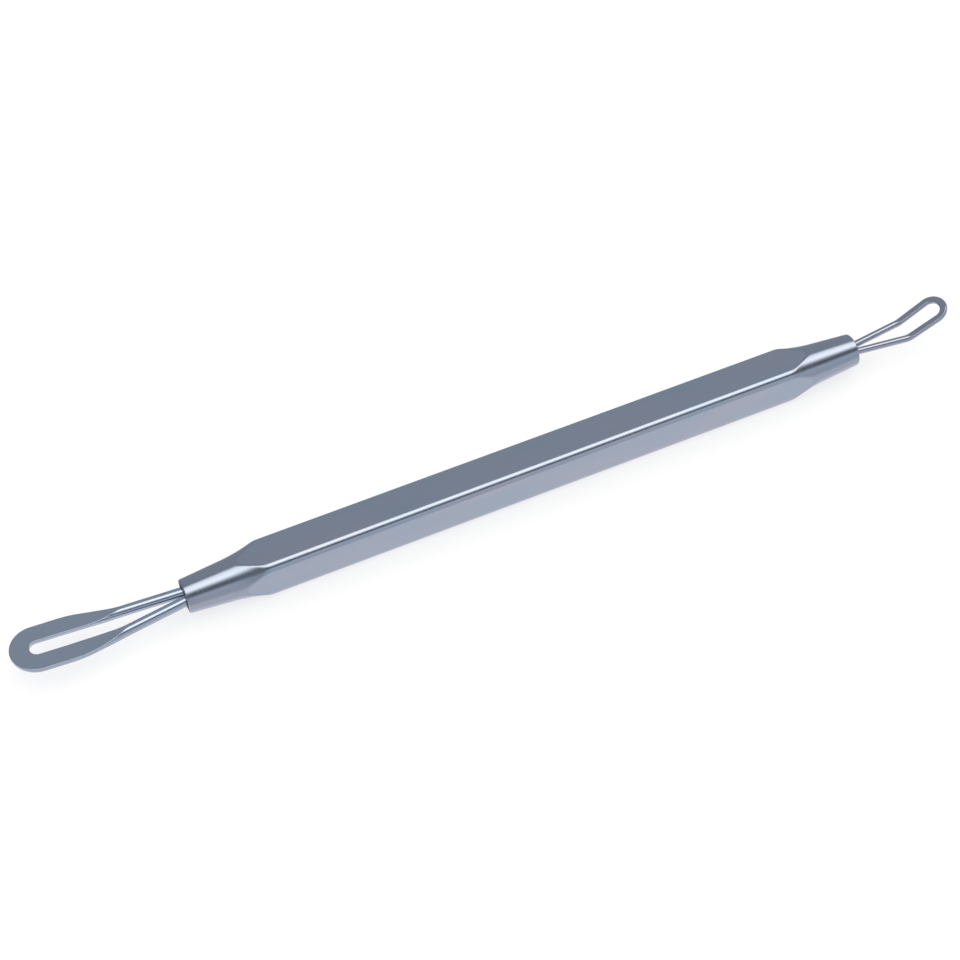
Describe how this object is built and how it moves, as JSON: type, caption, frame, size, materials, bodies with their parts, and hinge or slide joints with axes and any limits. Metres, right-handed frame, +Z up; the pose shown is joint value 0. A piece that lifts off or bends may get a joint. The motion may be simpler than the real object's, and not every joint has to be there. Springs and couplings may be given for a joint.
{
  "type": "double-ended blackhead extractor",
  "caption": "Slim square steel handle with turned ends, holding a slotted paddle-like wire loop at one end and a fine kinked wire loop at the other.",
  "frame": {"origin": "centre of the handle's flat bottom face", "axes": "+X along the handle towards the narrow kinked loop, with the wide slotted loop at -X; +Z up, the way the narrow loop's kink rises; +Y to the back, square to the handle"},
  "size_m": [0.1273, 0.0068, 0.0057],
  "materials": {
    "satin_handle": "fine satin, nickel-bright along the rounded edges",
    "forged_wire": "forged flat and tumbled to a soft satin",
    "drawn_wire": "smooth drawn wire",
    "braze": "dull silver braze metal"
  },
  "bodies": {
    "root": {"handle": "satin_handle", "wide_loop": "forged_wire", "narrow_loop": "drawn_wire", "wide_loop_braze": "braze", "narrow_loop_braze": "braze"}
  },
  "joints": []
}
